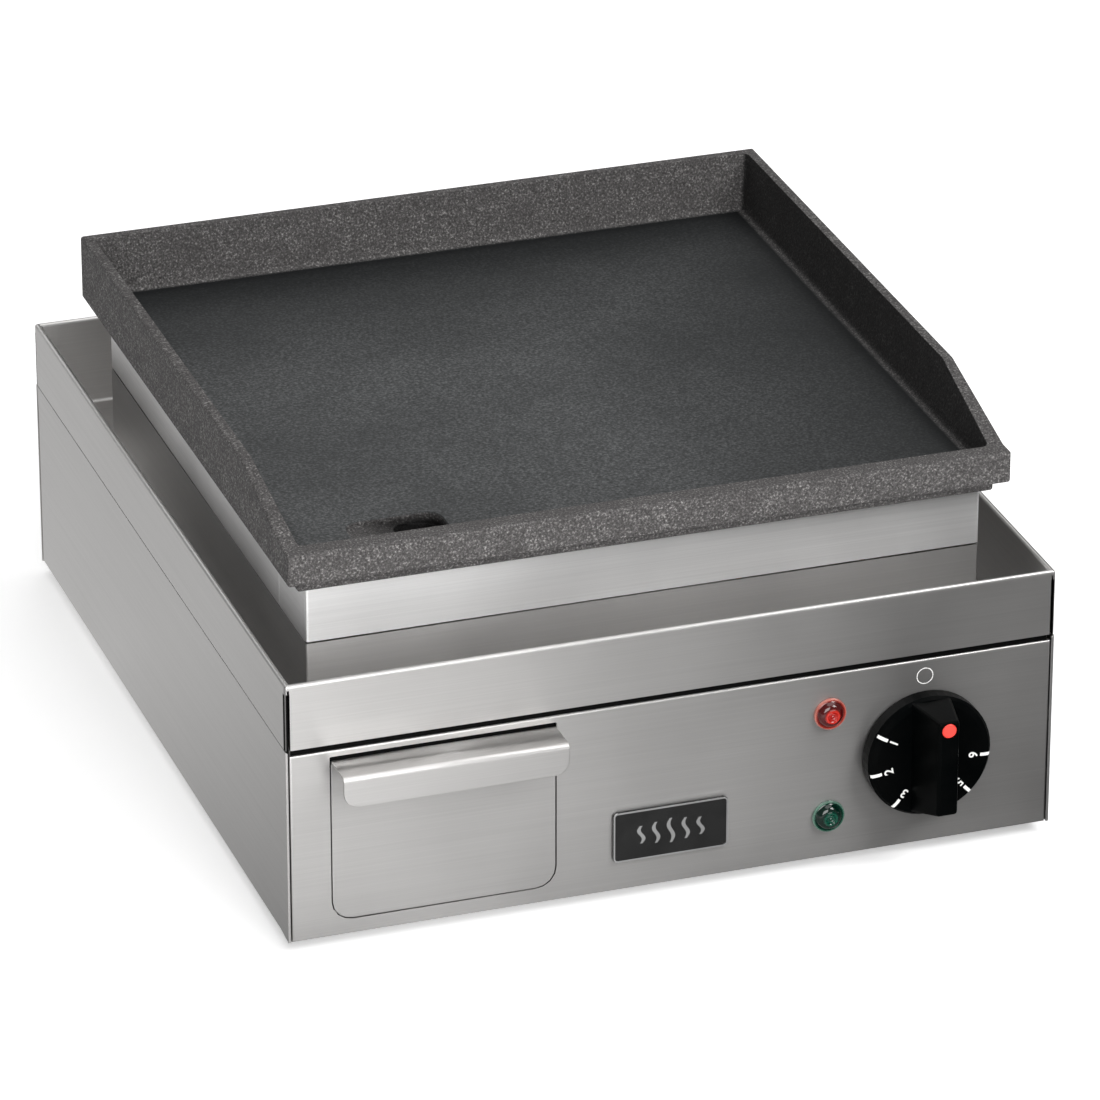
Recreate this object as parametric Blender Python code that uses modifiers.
"""Countertop electric griddle, built as separate pieces in metres with +Z up.

The casing is drawn in its own frame: x = 0 on its centre line, the front at y = -CASE_DEPTH / 2
and z = 0 at the casing's underside. Every piece hangs from one empty that lifts this frame onto
the feet, so the model stands on z = 0.
"""

import math

import bmesh
import bpy
from mathutils import Vector

# Driving dimensions, in metres.
CASE_WIDTH = 0.350
CASE_DEPTH = 0.400
FOOT_PROUD = 0.0055  # how far the feet stand below the casing
SHEET = 0.0012  # casing sheet
THIN_SHEET = 0.0010  # tray, skirts and drawer pan
FOLD_RADIUS = 0.0016
FASCIA_FOLD = 0.0011
EDGE_ROUND = 0.0010
GAP = 0.0003  # between pieces that touch

SIDE_TOP = 0.0914
FASCIA_TOP = 0.0891
FASCIA_HALF_WIDTH = 0.1734
FLANGE = 0.014

RIM_TOP = 0.1225
SKIRT_BOTTOM = 0.0919
RIM_WIDTH = 0.0028
CORNER_SLIT = 0.0009  # between the tray's front sheet and its sides
RIM_RADIUS = 0.00135
MOAT_FLOOR = 0.0800
UPSTAND_TOP = 0.1215
UPSTAND_HALF_WIDTH = 0.1540
UPSTAND_FRONT = -0.1622
UPSTAND_REAR = 0.1425

PLATE_HALF_WIDTH = 0.16415
PLATE_FRONT = -0.1721
PLATE_REAR = 0.1528
PLATE_BOTTOM = 0.1539
PLATE_STEP = 0.0058  # inset and depth of the step under the plate
LIP_TOP = 0.1688
WALL_TOP = 0.1845
COOK_SURFACE = 0.1580
LIP_BACK = -0.1632
WALL_KINK = -0.1020
SURFACE_HALF_WIDTH = 0.1553
SURFACE_FRONT = -0.1613
SURFACE_REAR = 0.1430
WALL_DRAFT = 0.0038  # how far the inner walls lean out between surface and wall top

SLOT_LEFT = -0.1264
SLOT_RIGHT = -0.0829
SLOT_FRONT = -0.1500
SLOT_REAR = -0.1257
SLOT_DEPTH = 0.0062
SLOT_SHALLOW = 0.0012  # its depth at the left end

DRAWER_LEFT = -0.1550
DRAWER_RIGHT = -0.0545
DRAWER_BOTTOM = 0.0077
DRAWER_TOP = 0.0835
DRAWER_CORNER = 0.0090
HANDLE_REACH = 0.0175
HANDLE_DROP = 0.0130
HANDLE_CORNER = 0.0065
PAN_TOP = 0.0700
PAN_BOTTOM = DRAWER_BOTTOM + 0.0018
PAN_REAR = 0.0300
PAN_SIDE_GAP = 0.0030

KNOB_X = 0.1148
KNOB_Z = 0.0460
KNOB_RADIUS = 0.0286
KNOB_HEIGHT = 0.0300
SKIRT_FACE = 0.0092  # height of the knob skirt's face above the fascia
DOT_RISE = 0.0225  # from the knob's axis up to its dot
DOT_RADIUS = 0.0033
SPINDLE_RADIUS = 0.0030
NEON_X = 0.0708
RED_NEON_Z = 0.0702
GREEN_NEON_Z = 0.0203
NEON_HOLE = 0.0062

ELEMENT_RADIUS = 0.0040
ELEMENT_Z = 0.1441
ELEMENT_PITCH = 0.0360
COLD_END_X = 3.5 * ELEMENT_PITCH
COLD_END_Y = 0.1260
COLD_END_Z = 0.0960
STUD_X = 0.0720
STUD_Y = 0.0500

HALF_W = CASE_WIDTH / 2
FRONT = -CASE_DEPTH / 2
REAR = CASE_DEPTH / 2
STEP_BOTTOM = PLATE_BOTTOM - PLATE_STEP + GAP
SKIRT_TOP = STEP_BOTTOM - GAP
SCREW_X = HALF_W - 0.0080
SCREW_HEIGHTS = (0.026, 0.066)
SCREW_HOLE = 0.0017
FLANGE_TOP = MOAT_FLOOR - THIN_SHEET - 0.0010  # the casing's flanges stop under the moat
FOOT_X = 0.1450
FOOT_Y = 0.1600
GLAND_X = 0.1050
GLAND_Z = 0.0300
GLAND_LENGTH = 0.0180
SWITCH_REAR = FRONT + 0.0390
TAB_PITCH = 0.0130  # between the thermostat's terminals
TAB_LENGTH = 0.0080
TERMINAL_X = 0.1050
TERMINAL_Y = 0.1400
TERMINAL_PITCH = 0.0130
WELL_FLOOR = 0.0130
EARTH_X = 0.1480
EARTH_Y = 0.1200
EARTH_TOP = 0.0220
DOT_DEPTH = 0.0009
DOT_PLACE = (0.0, DOT_RISE, 0.0)  # in the knob's own frame
KNOB_NOSE = KNOB_HEIGHT + 0.0002
CASE_SHIFT_Y = (KNOB_NOSE - GLAND_LENGTH) / 2  # centres the outline between knob and gland

FACING_FRONT = (math.pi / 2, 0.0, 0.0)  # a turned piece's own +Z points out of the fascia
FACING_REAR = (-math.pi / 2, 0.0, 0.0)
UPRIGHT = (0.0, 0.0, 0.0)
CENTRE = (0.0, 0.0, 0.0)


# ---------------------------------------------------------------- scene and materials


def clear_scene():
    for obj in list(bpy.data.objects):
        bpy.data.objects.remove(obj, do_unlink=True)


def new_collection(name):
    collection = bpy.data.collections.new(name)
    bpy.context.scene.collection.children.link(collection)
    return collection


def finish(name, colour, roughness, metallic=0.0):
    """A Principled material."""
    material = bpy.data.materials.new(name)
    material.use_nodes = True
    shader = material.node_tree.nodes["Principled BSDF"]
    shader.inputs["Base Color"].default_value = (*colour, 1.0)
    shader.inputs["Roughness"].default_value = roughness
    shader.inputs["Metallic"].default_value = metallic
    return material


clear_scene()
GRIDDLE = new_collection("electric_griddle")
CUTTERS = new_collection("cutters")


def frame_empty(name, location, rotation=UPRIGHT, parent=None):
    """An empty that pieces hang from. A moving body's empty is what its joint would move."""
    empty = bpy.data.objects.new(name, None)
    empty.location = location
    empty.rotation_euler = rotation
    empty.parent = parent
    GRIDDLE.objects.link(empty)
    return empty


CASING = frame_empty("casing_frame", (0.0, CASE_SHIFT_Y, FOOT_PROUD))
KNOB_AXIS = frame_empty("knob_axis", (KNOB_X, FRONT, KNOB_Z), FACING_FRONT, CASING)
DRAWER_SLIDE = frame_empty("drawer_slide", (0.0, 0.0, 0.0), UPRIGHT, CASING)


# ---------------------------------------------------------------- modelling helpers


def add_object(name, mesh, location=(0.0, 0.0, 0.0), rotation=UPRIGHT, look=None, parent=None):
    obj = bpy.data.objects.new(name, mesh)
    obj.location = location
    obj.rotation_euler = rotation
    obj.parent = parent or CASING
    if look is None:
        CUTTERS.objects.link(obj)
        obj.hide_render = True
        obj.display_type = "WIRE"
    else:
        GRIDDLE.objects.link(obj)
        material = finish(f"{name}_look", *look)
        mesh.materials.append(material)
    return obj


def box_mesh(name, low, high):
    low, high = Vector(low), Vector(high)
    bm = bmesh.new()
    bmesh.ops.create_cube(bm, size=1.0)
    for vertex in bm.verts:
        for axis in range(3):
            middle = (low[axis] + high[axis]) / 2
            vertex.co[axis] = middle + vertex.co[axis] * (high[axis] - low[axis])
    mesh = bpy.data.meshes.new(name)
    bm.to_mesh(mesh)
    bm.free()
    return mesh


def box(name, low, high, look=None, bevel=0.0, **place):
    """A block between two corners, with its edges rounded by bevel."""
    obj = add_object(name, box_mesh(name, low, high), look=look, **place)
    if bevel:
        round_edges(obj, bevel)
    return obj


def prism(name, outline, low, high, axis, look=None, **place):
    """A flat outline pushed from low to high along an axis. The outline is in the other two axes."""
    others = [i for i in range(3) if i != axis]
    bm = bmesh.new()
    corners = []
    for point in outline:
        co = [0.0, 0.0, 0.0]
        co[axis] = low
        co[others[0]], co[others[1]] = point
        corners.append(bm.verts.new(co))
    face = bm.faces.new(corners)
    moved = bmesh.ops.extrude_face_region(bm, geom=[face])["geom"]
    shift = Vector((0.0, 0.0, 0.0))
    shift[axis] = high - low
    bmesh.ops.translate(bm, vec=shift, verts=[v for v in moved if isinstance(v, bmesh.types.BMVert)])
    bmesh.ops.recalc_face_normals(bm, faces=bm.faces)
    mesh = bpy.data.meshes.new(name)
    bm.to_mesh(mesh)
    bm.free()
    return add_object(name, mesh, look=look, **place)


def rounded_outline(low, high, radii, steps=4):
    """A rectangle's corners as arcs, from the low-low corner round through high-low."""
    centres = [
        (low[0] + radii[0], low[1] + radii[0], 180),
        (high[0] - radii[1], low[1] + radii[1], 270),
        (high[0] - radii[2], high[1] - radii[2], 0),
        (low[0] + radii[3], high[1] - radii[3], 90),
    ]
    points = []
    for (x, y, start), radius in zip(centres, radii):
        count = steps if radius else 0
        for step in range(count + 1):
            angle = math.radians(start + 90 * step / max(count, 1))
            points.append((x + radius * math.cos(angle), y + radius * math.sin(angle)))
    return points


def quarter(start, steps):
    """The angles of a quarter turn from start."""
    return [start + math.pi / 2 * step / steps for step in range(steps + 1)]


def turned(name, profile, location, rotation, look=None, steps=24, ring=False, **place):
    """A turned piece from (radius, height) points running down its outer side."""
    points = [(radius, 0.0, height) for radius, height in profile]
    edges = [(i, i + 1) for i in range(len(points) - 1)]
    if ring:
        edges.append((len(points) - 1, 0))
    mesh = bpy.data.meshes.new(name)
    mesh.from_pydata(points, edges, [])
    obj = add_object(name, mesh, location, rotation, look, **place)
    screw = obj.modifiers.new("turn", "SCREW")
    screw.steps = steps
    screw.render_steps = steps
    screw.use_merge_vertices = True
    screw.merge_threshold = 0.00001
    screw.use_smooth_shade = True
    return obj


def cylinder(name, radius, low, high, location, rotation, look=None, steps=16, **place):
    profile = [(0.0, high), (radius, high), (radius, low), (0.0, low)]
    return turned(name, profile, location, rotation, look, steps, **place)


def hex_nut(name, radius, bore, low, high, location, rotation, look):
    nut = cylinder(name, radius, low, high, location, rotation, look, steps=6)
    return cut(nut, cylinder(f"{name}_bore", bore, low - 0.001, high + 0.001, location, rotation))


def round_edges(obj, width, segments=1, angle=50.0):
    bevel = obj.modifiers.new("round", "BEVEL")
    bevel.width = width
    bevel.segments = segments
    bevel.limit_method = "ANGLE"
    bevel.angle_limit = math.radians(angle)
    return obj


def sheet(name, points, faces, thickness, look, folds=FOLD_RADIUS, segments=2, parent=None):
    """Sheet metal: an open surface with rounded folds, thickened away from its visible side."""
    mesh = bpy.data.meshes.new(name)
    mesh.from_pydata(points, [], faces)
    obj = add_object(name, mesh, look=look, parent=parent)
    if folds:
        round_edges(obj, folds, segments)
    solid = obj.modifiers.new("thickness", "SOLIDIFY")
    solid.thickness = thickness
    solid.offset = -1.0
    solid.use_even_offset = True
    return obj


def folded(name, rows, thickness, look, closed=True, floor=False, **options):
    """Sheet metal from rows of corner points. Each row is joined to the next by flat bends."""
    count = len(rows[0])
    points = [point for row in rows for point in row]
    faces = []
    for row in range(len(rows) - 1):
        start = row * count
        for i in range(count if closed else count - 1):
            j = (i + 1) % count
            faces.append((start + i, start + j, start + count + j, start + count + i))
    if floor:
        start = (len(rows) - 1) * count
        faces.append(tuple(start + i for i in range(count)))
    return sheet(name, points, faces, thickness, look, **options)


def rectangle(half_width, front, rear, height):
    """Four corners at one height, from the front left, anticlockwise from above."""
    return [
        (-half_width, front, height),
        (half_width, front, height),
        (half_width, rear, height),
        (-half_width, rear, height),
    ]


def cut(obj, *cutters):
    for cutter in cutters:
        boolean = obj.modifiers.new("cut", "BOOLEAN")
        boolean.operation = "DIFFERENCE"
        boolean.object = cutter
    return obj


def join(obj, *others):
    for other in others:
        boolean = obj.modifiers.new("join", "BOOLEAN")
        boolean.operation = "UNION"
        boolean.object = other
    return obj


def tube(name, points, radius, look, radii=None):
    """A wire or tube along the points. radii scales the radius at each point."""
    curve = bpy.data.curves.new(name, "CURVE")
    curve.dimensions = "3D"
    curve.bevel_depth = radius
    curve.bevel_resolution = 2
    curve.use_fill_caps = True
    spline = curve.splines.new("POLY")
    spline.points.add(len(points) - 1)
    for index, point in enumerate(points):
        spline.points[index].co = (*point, 1.0)
        spline.points[index].radius = radii[index] if radii else 1.0
    return add_object(name, curve, look=look)


def smooth_route(route, spacing):
    """Points along a Catmull-Rom curve through the route, about one spacing apart."""
    stops = [Vector(point) for point in route]
    stops = [2 * stops[0] - stops[1], *stops, 2 * stops[-1] - stops[-2]]
    points = []
    for a, b, c, d in zip(stops, stops[1:], stops[2:], stops[3:]):
        count = max(2, round((c - b).length / spacing))
        for step in range(count):
            t = step / count
            straight = (2 * b) + (c - a) * t
            bend = (2 * a - 5 * b + 4 * c - d) * t**2 + (3 * b - a - 3 * c + d) * t**3
            points.append((straight + bend) / 2)
    return [*points, stops[-2]]


# Looks: colour, roughness, metallic.
STEEL = ((0.62, 0.61, 0.60), 0.32, 1.0)
DARK_STEEL = ((0.30, 0.30, 0.30), 0.45, 1.0)
CAST_IRON = ((0.07, 0.07, 0.07), 0.75, 0.6)
BLACK_PLASTIC = ((0.01, 0.01, 0.01), 0.35)
RUBBER = ((0.02, 0.02, 0.02), 0.8)
RED_LENS = ((0.55, 0.03, 0.02), 0.15)
GREEN_LENS = ((0.01, 0.22, 0.10), 0.15)
RED_PLASTIC = ((0.85, 0.07, 0.04), 0.4)
WHITE_CERAMIC = ((0.85, 0.83, 0.78), 0.5)
FIBRE = ((0.75, 0.72, 0.65), 0.9)
BRASS = ((0.75, 0.60, 0.30), 0.35, 1.0)
COPPER = ((0.70, 0.40, 0.25), 0.35, 1.0)

# ---------------------------------------------------------------- plate


def griddle_plate():
    side_view = [
        (PLATE_FRONT, PLATE_BOTTOM),
        (PLATE_REAR, PLATE_BOTTOM),
        (PLATE_REAR, WALL_TOP),
        (WALL_KINK, WALL_TOP),
        (LIP_BACK + 0.0006, LIP_TOP),
        (PLATE_FRONT, LIP_TOP),
    ]
    plate = prism("griddle_plate", side_view, -PLATE_HALF_WIDTH, PLATE_HALF_WIDTH, 0, CAST_IRON)
    round_edges(plate, 0.0012, 2, 20.0)
    step = box(
        "plate_step",
        (-PLATE_HALF_WIDTH + PLATE_STEP, PLATE_FRONT + PLATE_STEP, STEP_BOTTOM),
        (PLATE_HALF_WIDTH - PLATE_STEP, PLATE_REAR - PLATE_STEP, PLATE_BOTTOM + 0.002),
        bevel=0.0008,
    )
    join(plate, step)
    cut(plate, cooking_recess(), *drain_slot())


def cooking_recess():
    """The space between the walls: it widens upwards, with a fillet round its floor."""
    above = 0.004
    rise = WALL_TOP + above - COOK_SURFACE
    lean = WALL_DRAFT * rise / (WALL_TOP - COOK_SURFACE)
    front_lean = (SURFACE_FRONT - LIP_BACK) * rise / (LIP_TOP - COOK_SURFACE)
    obj = box(
        "cooking_recess",
        (-SURFACE_HALF_WIDTH, SURFACE_FRONT, COOK_SURFACE),
        (SURFACE_HALF_WIDTH, SURFACE_REAR, COOK_SURFACE + rise),
    )
    for vertex in obj.data.vertices:
        if vertex.co.z > COOK_SURFACE + rise / 2:
            vertex.co.x += math.copysign(lean, vertex.co.x)
            vertex.co.y += lean * 1.2 if vertex.co.y > 0 else -front_lean
    round_edges(obj, 0.0026, 3)
    return obj


def drain_slot():
    """A trench that slopes down to the right, and the hole it ends in."""
    inset = SLOT_SHALLOW
    hole_left = SLOT_RIGHT - 0.022
    floor = COOK_SURFACE - SLOT_DEPTH
    above = COOK_SURFACE + 0.001
    outline = rounded_outline((SLOT_LEFT, SLOT_FRONT), (SLOT_RIGHT, SLOT_REAR), [0.008] * 4)
    trench = prism("drain_trench", outline, floor, above, 2)
    for vertex in trench.data.vertices:
        if vertex.co.z < COOK_SURFACE - SLOT_DEPTH / 2:
            share = (vertex.co.x - SLOT_LEFT) / (SLOT_RIGHT - SLOT_LEFT)
            vertex.co.z = COOK_SURFACE - SLOT_SHALLOW - (SLOT_DEPTH - SLOT_SHALLOW) * share
    low = (hole_left, SLOT_FRONT + inset)
    high = (SLOT_RIGHT - inset, SLOT_REAR - inset)
    hole_outline = rounded_outline(low, high, [0.006] * 4)
    hole = prism("drain_hole", hole_outline, STEP_BOTTOM - 0.002, above, 2)
    return trench, hole


def skirt_band(half_width, front, end, height):
    """Three sides of a rectangle at one height, open at the end."""
    return [
        (-half_width, end, height),
        (-half_width, front, height),
        (half_width, front, height),
        (half_width, end, height),
    ]


def plate_skirts():
    """Two bands flush with the tray's upstand: a front one with short returns, and the rest."""
    return_length = 0.038
    flange = 0.008
    width = UPSTAND_HALF_WIDTH
    low = RIM_TOP - GAP
    seam = UPSTAND_FRONT + return_length
    front_rows = [
        skirt_band(width, UPSTAND_FRONT, seam, low),
        skirt_band(width, UPSTAND_FRONT, seam, SKIRT_TOP),
        skirt_band(width - flange, UPSTAND_FRONT + flange, seam, SKIRT_TOP),
    ]
    folded("plate_skirt_front", front_rows, THIN_SHEET, STEEL, closed=False)
    seam += 0.0005
    rear_rows = [
        skirt_band(width, UPSTAND_REAR, seam, low)[::-1],
        skirt_band(width, UPSTAND_REAR, seam, SKIRT_TOP)[::-1],
        skirt_band(width - flange, UPSTAND_REAR - flange, seam, SKIRT_TOP)[::-1],
    ]
    folded("plate_skirt_rear", rear_rows, THIN_SHEET, STEEL, closed=False)


# ---------------------------------------------------------------- casing


def hob_tray():
    """Outer skirt, hemmed rim, moat and upstand, folded from one sheet."""
    inner_x = HALF_W - RIM_WIDTH
    inner_y = REAR - RIM_WIDTH
    rows = [
        rectangle(HALF_W, FRONT, REAR, SKIRT_BOTTOM),
        rectangle(HALF_W, FRONT, REAR, RIM_TOP),
        rectangle(inner_x, -inner_y, inner_y, RIM_TOP),
        rectangle(inner_x, -inner_y, inner_y, MOAT_FLOOR),
        rectangle(UPSTAND_HALF_WIDTH, UPSTAND_FRONT, UPSTAND_REAR, MOAT_FLOOR),
        rectangle(UPSTAND_HALF_WIDTH, UPSTAND_FRONT, UPSTAND_REAR, UPSTAND_TOP),
    ]
    tray = folded("hob_tray", rows, THIN_SHEET, STEEL, folds=RIM_RADIUS, segments=3)
    for x_side, side in ((-1, "left"), (1, "right")):
        for y_side, end in ((-1, "front"), (1, "rear")):
            cut(tray, corner_slit(x_side, y_side, f"corner_slit_{end}_{side}"))


def corner_slit(x_side, y_side, name):
    """A slit through the front or rear skirt beside a side skirt, up to the rim's hem."""
    edge = x_side * (HALF_W - SHEET)
    x_low, x_high = sorted((edge, edge - x_side * CORNER_SLIT))
    y_low, y_high = sorted((y_side * (REAR + 0.001), y_side * (REAR - THIN_SHEET - 0.0002)))
    return box(name, (x_low, y_low, SKIRT_BOTTOM - 0.001), (x_high, y_high, RIM_TOP - 0.0022))


def side_panel(side, name):
    """A side sheet with a flange folded in along the back and one under the base."""
    x = side * HALF_W
    inner = side * (HALF_W - FLANGE)
    front_notch = FRONT + FLANGE + 0.001
    rear = REAR - SHEET - GAP
    points = [
        (x, FRONT, 0.0),
        (x, front_notch, 0.0),
        (x, rear, 0.0),
        (x, rear, FLANGE_TOP),
        (x, rear, SIDE_TOP),
        (x, FRONT, SIDE_TOP),
        (inner, rear, FLANGE),
        (inner, rear, FLANGE_TOP),
        (inner, front_notch, 0.0),
        (inner, rear - FLANGE, 0.0),
    ]
    faces = [(0, 1, 2, 3, 4, 5), (3, 2, 6, 7), (1, 8, 9, 2)]
    if side > 0:
        panel = sheet(name, points, faces, SHEET, STEEL)
    else:
        panel = sheet(name, points, [face[::-1] for face in faces], SHEET, STEEL)
    for z in SCREW_HEIGHTS:
        place = (side * SCREW_X, rear, z)
        cut(panel, cylinder(f"{name}_hole", SCREW_HOLE, -0.004, 0.004, place, FACING_REAR))
    cut(panel, edge_slope(side, f"{name}_slope"))


def edge_slope(side, name):
    """The waste over a side sheet's top edge, which falls inwards from a narrow land."""
    land, reach, over = 0.0003, 0.0020, 0.0010
    outer = side * (HALF_W - land)
    inner = side * (HALF_W - land - reach)
    outline = [
        (outer, SIDE_TOP),
        (outer, SIDE_TOP + over),
        (inner, SIDE_TOP + over),
        (inner, SIDE_TOP - reach),
    ]
    return prism(name, outline, FRONT - over, REAR, 1)


def front_fascia():
    """A sheet set between the side sheets, with flanges folded back at its sides and foot."""
    back, width = FRONT + FLANGE, FASCIA_HALF_WIDTH
    narrow = FRONT + 0.0022  # the side flanges are narrow where they pass in front of the tray
    points = [
        (-width, FRONT, 0.0),
        (width, FRONT, 0.0),
        (width, FRONT, FASCIA_TOP),
        (-width, FRONT, FASCIA_TOP),
        (-width + FLANGE, back, 0.0),
        (width - FLANGE, back, 0.0),
    ]
    faces = [(0, 1, 2, 3), (1, 0, 4, 5)]
    for side, foot, head in ((-1, 0, 3), (1, 1, 2)):
        start = len(points)
        points += [
            (side * width, narrow, FASCIA_TOP),
            (side * width, narrow, FLANGE_TOP),
            (side * width, back, FLANGE_TOP),
            (side * width, back, FLANGE),
        ]
        flange = (foot, head, start, start + 1, start + 2, start + 3)
        faces.append(flange if side < 0 else flange[::-1])
    fascia = sheet("front_fascia", points, faces, SHEET, STEEL, folds=FASCIA_FOLD)
    cut(fascia, top_rounding())
    clearance = 0.0005
    corner = DRAWER_CORNER + clearance
    opening = rounded_outline(
        (DRAWER_LEFT - clearance, DRAWER_BOTTOM - clearance),
        (DRAWER_RIGHT + clearance, DRAWER_TOP + 0.0027),
        [corner, corner, 0.0006, 0.0006],
    )
    front, behind = FRONT - 0.002, FRONT + SHEET + 0.002
    cut(fascia, prism("drawer_opening", opening, front, behind, 1))
    for name, x, z, radius in (
        ("red_neon_hole", NEON_X, RED_NEON_Z, NEON_HOLE),
        ("green_neon_hole", NEON_X, GREEN_NEON_Z, NEON_HOLE),
        ("spindle_hole", KNOB_X, KNOB_Z, 0.0056),
    ):
        cut(fascia, cylinder(name, radius, -0.003, 0.003, (x, FRONT, z), FACING_FRONT))


def top_rounding():
    """The waste outside the fascia's rounded top front edge."""
    over = 0.0010
    centre_y, centre_z = FRONT + EDGE_ROUND, FASCIA_TOP - EDGE_ROUND
    arc = [
        (centre_y - EDGE_ROUND * math.cos(angle), centre_z + EDGE_ROUND * math.sin(angle))
        for angle in quarter(0.0, 6)
    ]
    above = FASCIA_TOP + over
    outline = [(FRONT - over, centre_z), *arc, (centre_y, above), (FRONT - over, above)]
    return prism("fascia_top_rounding", outline, -HALF_W, HALF_W, 0)


def rear_panel():
    """The removable back, over the side sheets' flanges, with vent slots and the gland hole."""
    outer = REAR
    panel = box("rear_panel", (-HALF_W, outer - SHEET, 0.0), (HALF_W, outer, SIDE_TOP), STEEL)
    vent_length, vent_height, vent_pitch = 0.026, 0.004, 0.034
    for row, z in enumerate((0.056, 0.066)):
        for column in range(5):
            x = -0.120 + vent_pitch * column
            slot = rounded_outline((x, z), (x + vent_length, z + vent_height), [0.0019] * 4, 3)
            cut(panel, prism(f"rear_vent_{row}_{column}", slot, outer - 0.004, outer + 0.002, 1))
    place = (GLAND_X, outer, GLAND_Z)
    cut(panel, cylinder("gland_hole", 0.0083, -0.004, 0.004, place, FACING_REAR, steps=24))
    for side in (-1, 1):
        for z in SCREW_HEIGHTS:
            place = (side * SCREW_X, outer, z)
            cut(panel, cylinder("rear_panel_hole", SCREW_HOLE, -0.004, 0.004, place, FACING_REAR))


def rear_screws():
    shank, tip = 0.0014, -0.0060
    profile = [
        (0.0, 0.0022),
        (0.0016, 0.0021),
        (0.0030, 0.0013),
        (0.0034, GAP),
        (shank, GAP),
        (shank, tip),
        (0.0, tip),
    ]
    for side, word in ((-1, "left"), (1, "right")):
        for z, level in zip(SCREW_HEIGHTS, ("lower", "upper")):
            place = (side * SCREW_X, REAR, z)
            turned(f"rear_screw_{level}_{word}", profile, place, FACING_REAR, DARK_STEEL, 12)


def base_plate():
    half_width, bottom = 0.1715, 0.0015
    low = (-half_width, FRONT + SHEET + 0.0005, bottom)
    high = (half_width, REAR - SHEET * 2 - 0.0010, bottom + SHEET)
    plate = box("base_plate", low, high, STEEL)
    vent_half, vent_width, vent_pitch = 0.030, 0.006, 0.030
    for index in range(6):
        y = -0.090 + vent_pitch * index
        slot = rounded_outline((-vent_half, y), (vent_half, y + vent_width), [0.0028] * 4, 3)
        cut(plate, prism(f"base_vent_{index}", slot, -0.002, 0.006, 2))
    for x, y, name in foot_places():
        cut(plate, cylinder(f"{name}_hole", 0.0026, -0.002, 0.006, (x, y, 0.0), UPRIGHT))


def foot_places():
    for x, side in ((-FOOT_X, "left"), (FOOT_X, "right")):
        for y, end in ((-FOOT_Y, "front"), (FOOT_Y, "rear")):
            yield x, y, f"foot_{end}_{side}"


def feet():
    rubber = [
        (0.0110, 0.0012),
        (0.0125, -0.0042),
        (0.0118, -FOOT_PROUD),
        (0.0048, -FOOT_PROUD),
        (0.0048, -0.0012),
        (0.0025, -0.0012),
        (0.0025, 0.0012),
    ]
    screw = [
        (0.0, 0.0062),
        (0.0019, 0.0058),
        (0.0019, -0.0012 - GAP),
        (0.0041, -0.0012 - GAP),
        (0.0036, -0.0036),
        (0.0, -0.0040),
    ]
    for x, y, name in foot_places():
        turned(name, rubber, (x, y, 0.0), UPRIGHT, RUBBER, 20, ring=True)
        turned(f"{name}_screw", screw, (x, y, 0.0), UPRIGHT, DARK_STEEL, 12)


def badge():
    """A plain plate with no wording."""
    outline = rounded_outline((-0.0288, 0.0143), (0.0240, 0.0385), [0.0022] * 4, 3)
    prism("badge", outline, FRONT - GAP - 0.0011, FRONT - GAP, 1, BLACK_PLASTIC)


# ---------------------------------------------------------------- fat drawer


def drawer_front():
    """The front sheet: it folds out at its top edge and down again as the handle."""
    lip_y = FRONT - HANDLE_REACH
    lip_bottom = DRAWER_TOP - HANDLE_DROP
    corners = [DRAWER_CORNER, DRAWER_CORNER, 0.0, 0.0]
    panel = rounded_outline((DRAWER_LEFT, DRAWER_BOTTOM), (DRAWER_RIGHT, DRAWER_TOP), corners)
    corners = [HANDLE_CORNER, HANDLE_CORNER, 0.0, 0.0]
    lip = rounded_outline((DRAWER_LEFT, lip_bottom), (DRAWER_RIGHT, DRAWER_TOP), corners)
    # Both outlines end with their right and then left top corners, which the fold joins.
    points = [(x, FRONT, z) for x, z in panel] + [(x, lip_y, z) for x, z in lip]
    count = len(panel)
    panel_face = tuple(range(count))
    lip_face = tuple(range(2 * count - 1, count - 1, -1))
    fold = (count - 1, count - 2, 2 * count - 2, 2 * count - 1)
    faces = [panel_face, fold, lip_face]
    sheet("drawer_front", points, faces, SHEET, STEEL, 0.0014, 3, parent=DRAWER_SLIDE)


def drawer_pan():
    """The open box behind the front, which catches the fat."""
    left, right = DRAWER_LEFT + PAN_SIDE_GAP, DRAWER_RIGHT - PAN_SIDE_GAP
    front = FRONT + SHEET + GAP
    rows = [
        [(left, front, z), (right, front, z), (right, PAN_REAR, z), (left, PAN_REAR, z)]
        for z in (PAN_TOP, PAN_BOTTOM)
    ]
    rows = [row[::-1] for row in rows]
    folded("drawer_pan", rows, THIN_SHEET, STEEL, floor=True, folds=0.003, parent=DRAWER_SLIDE)


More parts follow.
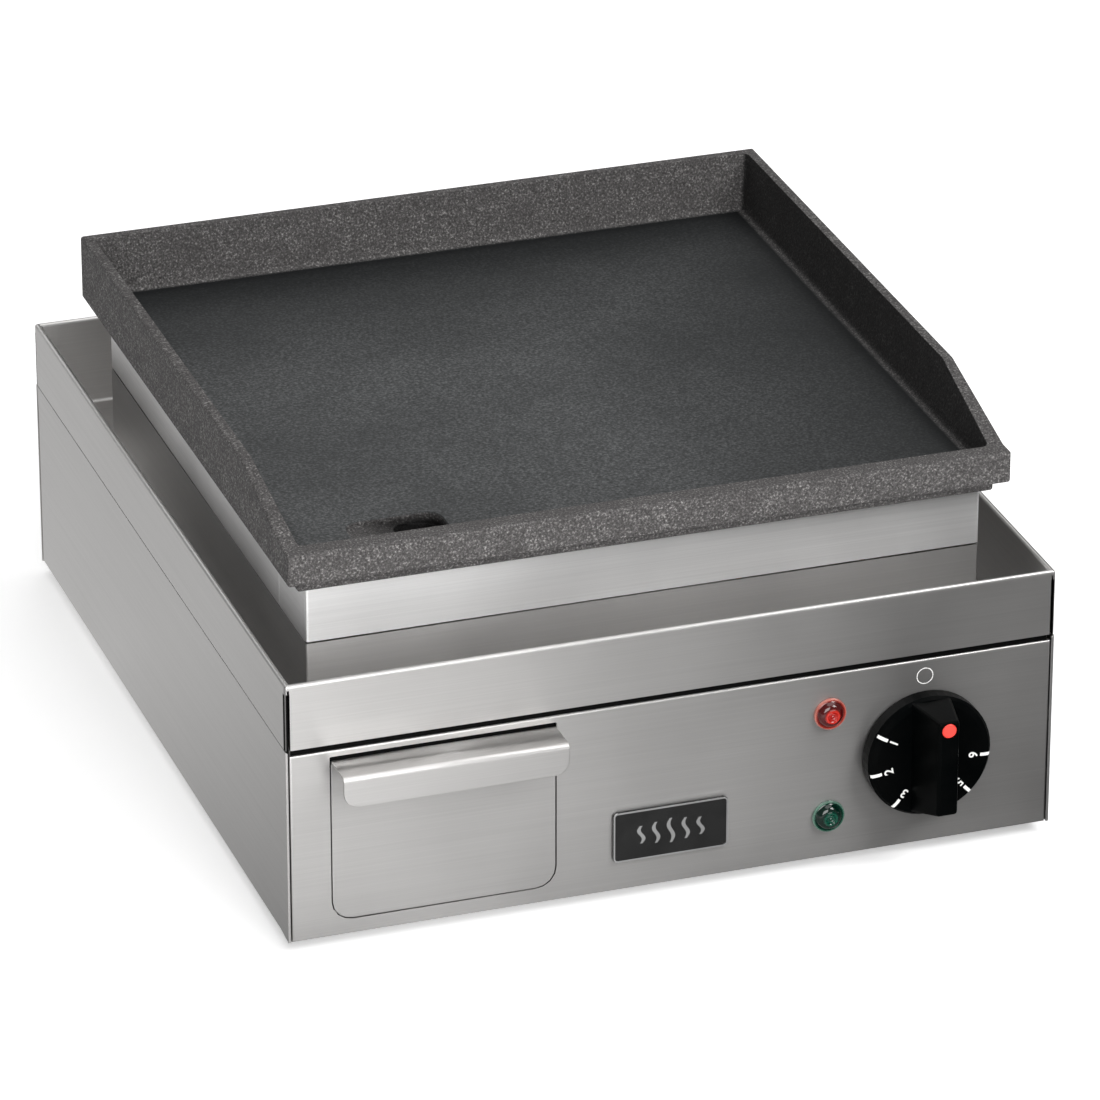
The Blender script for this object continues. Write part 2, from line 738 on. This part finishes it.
def drawer_rails():
    """Angle runners: a shelf under the pan, a guide beside it, and two standing feet."""
    shelf_top = PAN_BOTTOM - GAP
    front, rear = FRONT + SHEET + GAP, PAN_REAR + 0.010
    low, foot_high, guide_high = 0.0030, 0.0042, 0.0280
    foot_width, foot_length = 0.0120, 0.030
    for side, name, edge in (
        (-1, "left", DRAWER_LEFT + PAN_SIDE_GAP),
        (1, "right", DRAWER_RIGHT - PAN_SIDE_GAP),
    ):
        guide = edge + side * 0.0006

        def block(part, x_ends, y_low, y_high, z_low, z_high, look=None):
            low_x, high_x = sorted(x_ends)
            corners = (low_x, y_low, z_low), (high_x, y_high, z_high)
            return box(f"drawer_rail_{name}{part}", *corners, look)

        rail = block("", (guide, guide + side * SHEET), front, rear, low, guide_high, STEEL)
        shelf_ends = (guide + side * 0.0006, edge - side * 0.0090)
        shelf = block("_shelf", shelf_ends, front, rear, shelf_top - SHEET, shelf_top)
        foot_ends = (guide, guide + side * foot_width)
        rear_foot = block("_rear_foot", foot_ends, rear - foot_length, rear, low, foot_high)
        start = front + 0.020
        front_foot = block("_front_foot", foot_ends, start, start + foot_length, low, foot_high)
        join(rail, shelf, rear_foot, front_foot)


def drain_chute():
    """The funnel that carries fat from the plate's slot down into the drawer pan."""

    def ring(left, right, front, rear, height):
        corners = [(left, front), (right, front), (right, rear), (left, rear)]
        return [(x, y, height) for x, y in corners[::-1]]

    mouth = (-0.1290, -0.0805, -0.1525, -0.1233)
    spout = (-0.1200, -0.0880, -0.1500, -0.1280)
    rows = [
        ring(*mouth, SKIRT_TOP - 0.0002),
        ring(*mouth, 0.1250),
        ring(*spout, 0.0980),
        ring(*spout, PAN_TOP + 0.006),
    ]
    folded("drain_chute", rows, THIN_SHEET, STEEL, folds=0.002)


# ---------------------------------------------------------------- controls


def knob():
    """A round skirt with a raised grip bar. Its own +Z points out of the fascia, its +Y up."""
    standing = 0.0012
    edge = 0.0012
    skirt = [
        (0.0, SKIRT_FACE),
        (KNOB_RADIUS - 3 * edge, SKIRT_FACE),
        (KNOB_RADIUS - edge, SKIRT_FACE - edge / 2),
        (KNOB_RADIUS, SKIRT_FACE - 1.8 * edge),
        (KNOB_RADIUS, standing),
        (0.0, standing),
    ]
    body = turned("knob", skirt, CENTRE, UPRIGHT, BLACK_PLASTIC, 48, parent=KNOB_AXIS)
    foot_half, nose_half, half_length = 0.0100, 0.0046, 0.0270
    end_lean = 0.0004
    bar = box(
        "grip_bar",
        (-foot_half, -half_length, SKIRT_FACE / 2),
        (foot_half, half_length, KNOB_HEIGHT),
        parent=KNOB_AXIS,
    )
    for vertex in bar.data.vertices:
        if vertex.co.z > KNOB_HEIGHT / 2:
            vertex.co.x = math.copysign(nose_half, vertex.co.x)
            # The top end stands up straight, and the lower end slopes back to the skirt.
            vertex.co.y += -end_lean if vertex.co.y > 0 else 0.0085
    round_edges(bar, 0.0012, 2, 20.0)
    socket = cylinder(
        "spindle_socket", SPINDLE_RADIUS + 0.0001, -0.002, 0.0160, CENTRE, UPRIGHT, parent=KNOB_AXIS
    )
    seat_floor = KNOB_HEIGHT - DOT_DEPTH - GAP
    dot_seat = cylinder(
        "dot_seat", DOT_RADIUS + GAP, seat_floor, KNOB_NOSE + 0.002, DOT_PLACE, UPRIGHT, parent=KNOB_AXIS
    )
    join(body, bar)
    cut(body, socket, dot_seat)


def knob_dot():
    edge = 0.0005
    profile = [
        (0.0, KNOB_NOSE),
        (DOT_RADIUS - edge, KNOB_NOSE),
        (DOT_RADIUS, KNOB_NOSE - edge),
        (DOT_RADIUS, KNOB_HEIGHT - DOT_DEPTH),
        (0.0, KNOB_HEIGHT - DOT_DEPTH),
    ]
    turned("knob_dot", profile, DOT_PLACE, UPRIGHT, RED_PLASTIC, 20, parent=KNOB_AXIS)


def neon(name, z, look):
    """A domed lens with rings on its face, and its lamp body behind the fascia."""
    place = (NEON_X, FRONT, z)
    lens = [
        (0.0, 0.0046),
        (0.0008, 0.0044),
        (0.0016, 0.0048),
        (0.0024, 0.0044),
        (0.0032, 0.0048),
        (0.0044, 0.0043),
        (0.0061, 0.0031),
        (0.0072, 0.0016),
        (0.0074, GAP),
        (0.0052, GAP),
        (0.0052, -0.0020),
        (0.0, -0.0020),
    ]
    turned(f"{name}_lens", lens, place, FACING_FRONT, look, 28)
    body = [
        (0.0, -0.0023),
        (0.0055, -0.0023),
        (0.0055, -0.0220),
        (0.0040, -0.0240),
        (0.0040, -0.0300),
        (0.0, -0.0300),
    ]
    turned(f"{name}_body", body, place, FACING_FRONT, WHITE_CERAMIC, 16)


def thermostat():
    """Switch body behind the fascia, the bracket that holds it, and its spindle."""
    reach, hidden = 0.0155, -0.0066
    radius = SPINDLE_RADIUS - 0.0001
    spindle = [
        (0.0, reach),
        (radius - 0.0004, reach),
        (radius, reach - 0.0007),
        (radius, hidden),
        (0.0, hidden),
    ]
    turned("thermostat_spindle", spindle, CENTRE, UPRIGHT, DARK_STEEL, 16, parent=KNOB_AXIS)
    x, z = KNOB_X, KNOB_Z
    half_width, half_height = 0.022, 0.018
    front, rear = FRONT + 0.0070, SWITCH_REAR
    low = (x - half_width, front, z - half_height)
    high = (x + half_width, rear, z + half_height)
    switch = box("thermostat_body", low, high, WHITE_CERAMIC, 0.0015)
    for index in range(3):
        tab_x = x + TAB_PITCH * (index - 1)
        low = (tab_x - 0.0032, rear - 0.001, z - 0.0004)
        high = (tab_x + 0.0032, rear + TAB_LENGTH, z + 0.0004)
        join(switch, box(f"switch_tab_{index}", low, high))
    thermostat_bracket(x, z, front - 0.0004)


def thermostat_bracket(x, z, back):
    """A shallow channel against the fascia, which the switch is fixed to."""
    half_width, half_height, web = 0.025, 0.014, 0.0015
    low = (x - half_width, FRONT + SHEET + GAP, z - half_height)
    high = (x + half_width, back, z + half_height)
    bracket = box("thermostat_bracket", low, high, DARK_STEEL)
    inner = half_width - 0.006
    low = (x - inner, FRONT, z - half_height - 0.006)
    high = (x + inner, back - web, z + half_height + 0.006)
    cavity = box("bracket_space", low, high)
    place = (x, FRONT, z)
    clearance = cylinder("bracket_hole", 0.0045, -0.012, 0.004, place, FACING_FRONT)
    cut(bracket, cavity, clearance)


def thermostat_capillary():
    """The sensing bulb under the plate and its fine tube down to the switch, in one piece."""
    bulb_radius, fine, bulb_z = 0.0030, 0.30, 0.1450
    bulb = [(0.0, y, bulb_z) for y in (0.030, 0.0295, -0.0595, -0.0600)]
    run = smooth_route(
        [
            (0.0, -0.0605, bulb_z),
            (0.004, -0.100, 0.1435),
            (0.030, -0.1300, 0.128),
            (0.078, -0.1420, 0.085),
            (0.100, -0.1450, 0.064),
            (KNOB_X - 0.006, -0.1540, KNOB_Z + 0.010),
            (KNOB_X - 0.006, -0.1604, KNOB_Z + 0.010),
        ],
        0.010,
    )
    radii = [fine * 1.6, 1.0, 1.0, fine] + [fine] * len(run)
    tube("thermostat_capillary", bulb + run, bulb_radius, COPPER, radii)


# ---------------------------------------------------------------- heating


def element(side, name):
    """A tubular heater: four legs joined by half turns, with both cold ends folded down."""
    legs = [side * ELEMENT_PITCH * (leg + 0.5) for leg in range(4)]
    turn, bend = ELEMENT_PITCH / 2, 0.008
    straight, cold = 0.087, COLD_END_Y - bend

    def fold_down(x):
        """A cold end, from its tip up and round towards the heater's plane."""
        tip = [(x, COLD_END_Y, COLD_END_Z)]
        corner_z = ELEMENT_Z - bend
        return tip + [
            (x, cold + bend * math.cos(angle), corner_z + bend * math.sin(angle))
            for angle in quarter(0.0, 4)
        ]

    points = fold_down(legs[0])
    for leg in range(3):
        end = -1 if leg % 2 == 0 else 1
        centre = (legs[leg] + legs[leg + 1]) / 2
        for step in range(9):
            angle = math.pi * step / 8
            x = centre - side * turn * math.cos(angle)
            points.append((x, end * (straight + turn * math.sin(angle)), ELEMENT_Z))
    points += fold_down(legs[3])[::-1]
    tube(name, points, ELEMENT_RADIUS, DARK_STEEL)


def clamps():
    """Bars that press the heaters up to the plate, on studs with nuts."""
    half_length, half_width, thickness = 0.138, 0.010, 0.0015
    stud, hole, nut = 0.0025, 0.0029, 0.0045
    bar_top = ELEMENT_Z - ELEMENT_RADIUS - GAP
    bar_low = bar_top - thickness
    nut_top = bar_low - GAP
    nut_low = nut_top - 0.004
    over = 0.002
    for y, end in ((-STUD_Y, "front"), (STUD_Y, "rear")):
        low = (-half_length, y - half_width, bar_low)
        high = (half_length, y + half_width, bar_top)
        bar = box(f"clamp_bar_{end}", low, high, DARK_STEEL)
        for x, side in ((-STUD_X, "left"), (STUD_X, "right")):
            name = f"{end}_{side}"
            place = (x, y, 0.0)
            cut(bar, cylinder(f"bar_hole_{name}", hole, bar_low - over, bar_top + over, place, UPRIGHT))
            stud_low, stud_top = nut_low - 0.002, STEP_BOTTOM - GAP
            cylinder(f"clamp_stud_{name}", stud, stud_low, stud_top, place, UPRIGHT, DARK_STEEL, 12)
            hex_nut(f"clamp_nut_{name}", nut, hole, nut_low, nut_top, place, UPRIGHT, DARK_STEEL)


def heat_shield():
    """A tray under the heaters, its insulation, and the two angles that carry it."""
    half_width, front, rear, low = 0.1496, -0.117, 0.112, 0.1120
    rows = [rectangle(half_width, front, rear, z)[::-1] for z in (0.1330, low)]
    folded("heat_shield", rows, THIN_SHEET, STEEL, floor=True)
    inset = THIN_SHEET + 0.0012
    box(
        "insulation",
        (-half_width + inset, front + inset, low + THIN_SHEET + GAP),
        (half_width - inset, rear - inset, 0.1310),
        FIBRE,
        0.001,
    )
    for side, name in ((-1, "left"), (1, "right")):
        plate_support(side, name, low - GAP)


def plate_support(side, name, shelf_top):
    """An angle inside the upstand: its web stands against the sheet, its shelf carries the tray."""
    web, half_length = side * 0.1519, 0.100
    low_x, high_x = sorted((web, web - side * SHEET))
    low = (low_x, -half_length, 0.0880)
    high = (high_x, half_length, SKIRT_TOP - 0.0015)
    support = box(f"plate_support_{name}", low, high, DARK_STEEL)
    low_x, high_x = sorted((web, web - side * 0.0160))
    low = (low_x, -half_length, shelf_top - SHEET)
    high = (high_x, half_length, shelf_top)
    join(support, box(f"support_shelf_{name}", low, high))


# ---------------------------------------------------------------- wiring


def terminal_block():
    x, y = TERMINAL_X, TERMINAL_Y
    low, high = (x - 0.020, y - 0.010, 0.0030), (x + 0.020, y + 0.010, 0.0200)
    block = box("terminal_block", low, high, WHITE_CERAMIC, 0.001)
    for index in range(3):
        place = (x + TERMINAL_PITCH * (index - 1), y, 0.0)
        cut(block, cylinder(f"terminal_well_{index}", 0.0030, WELL_FLOOR, 0.0220, place, UPRIGHT))


def earth_stud():
    profile = [
        (0.0, EARTH_TOP),
        (0.0025, EARTH_TOP - 0.0005),
        (0.0025, 0.0120),
        (0.0050, 0.0120),
        (0.0050, 0.0070),
        (0.0080, 0.0070),
        (0.0080, 0.0030),
        (0.0, 0.0030),
    ]
    turned("earth_stud", profile, (EARTH_X, EARTH_Y, 0.0), UPRIGHT, BRASS, 12)


def cable_gland():
    """The cord inlet: a nut and dome outside the back, its thread and locknut inside."""
    outer = REAR
    bore = 0.0045
    gland = [
        (0.0060, GLAND_LENGTH),
        (0.0090, GLAND_LENGTH - 0.0030),
        (0.0100, 0.0090),
        (0.0118, 0.0088),
        (0.0118, GAP),
        (0.0078, GAP),
        (0.0078, -0.0110),
        (bore, -0.0110),
        (bore, GLAND_LENGTH),
    ]
    place = (GLAND_X, outer, GLAND_Z)
    turned("cable_gland", gland, place, FACING_REAR, BLACK_PLASTIC, 24, ring=True)
    back = -SHEET - GAP
    hex_nut("gland_nut", 0.0125, 0.0083, back - 0.0045, back, place, FACING_REAR, BLACK_PLASTIC)


def wires():
    """Wires from the terminal block to the thermostat, to the heaters and to the earth stud."""
    start_z = WELL_FLOOR + GAP
    tab_y = SWITCH_REAR + TAB_LENGTH + GAP * 2
    routes = {
        "wire_live": [
            (TERMINAL_X + TERMINAL_PITCH, TERMINAL_Y, start_z),
            (0.120, 0.136, 0.046),
            (0.150, 0.090, 0.060),
            (0.156, 0.000, 0.050),
            (0.150, -0.110, 0.042),
            (KNOB_X + TAB_PITCH, tab_y + 0.0124, KNOB_Z),
            (KNOB_X + TAB_PITCH, tab_y, KNOB_Z),
        ],
        "wire_neutral": [
            (TERMINAL_X - TERMINAL_PITCH, TERMINAL_Y, start_z),
            (0.092, 0.137, 0.034),
            (0.105, 0.128, 0.060),
            (COLD_END_X, COLD_END_Y, 0.082),
            (COLD_END_X, COLD_END_Y, COLD_END_Z - GAP),
        ],
        "wire_earth": [
            (TERMINAL_X, TERMINAL_Y, start_z),
            (0.105, 0.138, 0.034),
            (0.116, 0.124, 0.034),
            (0.134, 0.115, 0.030),
            (0.146, 0.117, 0.030),
            (EARTH_X, EARTH_Y, EARTH_TOP + GAP),
        ],
    }
    colours = {
        "wire_live": ((0.28, 0.10, 0.04), 0.5),
        "wire_neutral": ((0.05, 0.15, 0.55), 0.5),
        "wire_earth": ((0.25, 0.50, 0.05), 0.5),
    }
    for name, route in routes.items():
        tube(name, smooth_route(route, 0.009), 0.0013, colours[name])


# ---------------------------------------------------------------- build

griddle_plate()
plate_skirts()
hob_tray()
side_panel(-1, "side_panel_left")
side_panel(1, "side_panel_right")
front_fascia()
rear_panel()
rear_screws()
base_plate()
feet()
badge()
drawer_front()
drawer_pan()
drawer_rails()
drain_chute()
knob()
knob_dot()
neon("red_neon", RED_NEON_Z, RED_LENS)
neon("green_neon", GREEN_NEON_Z, GREEN_LENS)
thermostat()
thermostat_capillary()
element(-1, "element_left")
element(1, "element_right")
clamps()
heat_shield()
terminal_block()
earth_stud()
cable_gland()
wires()
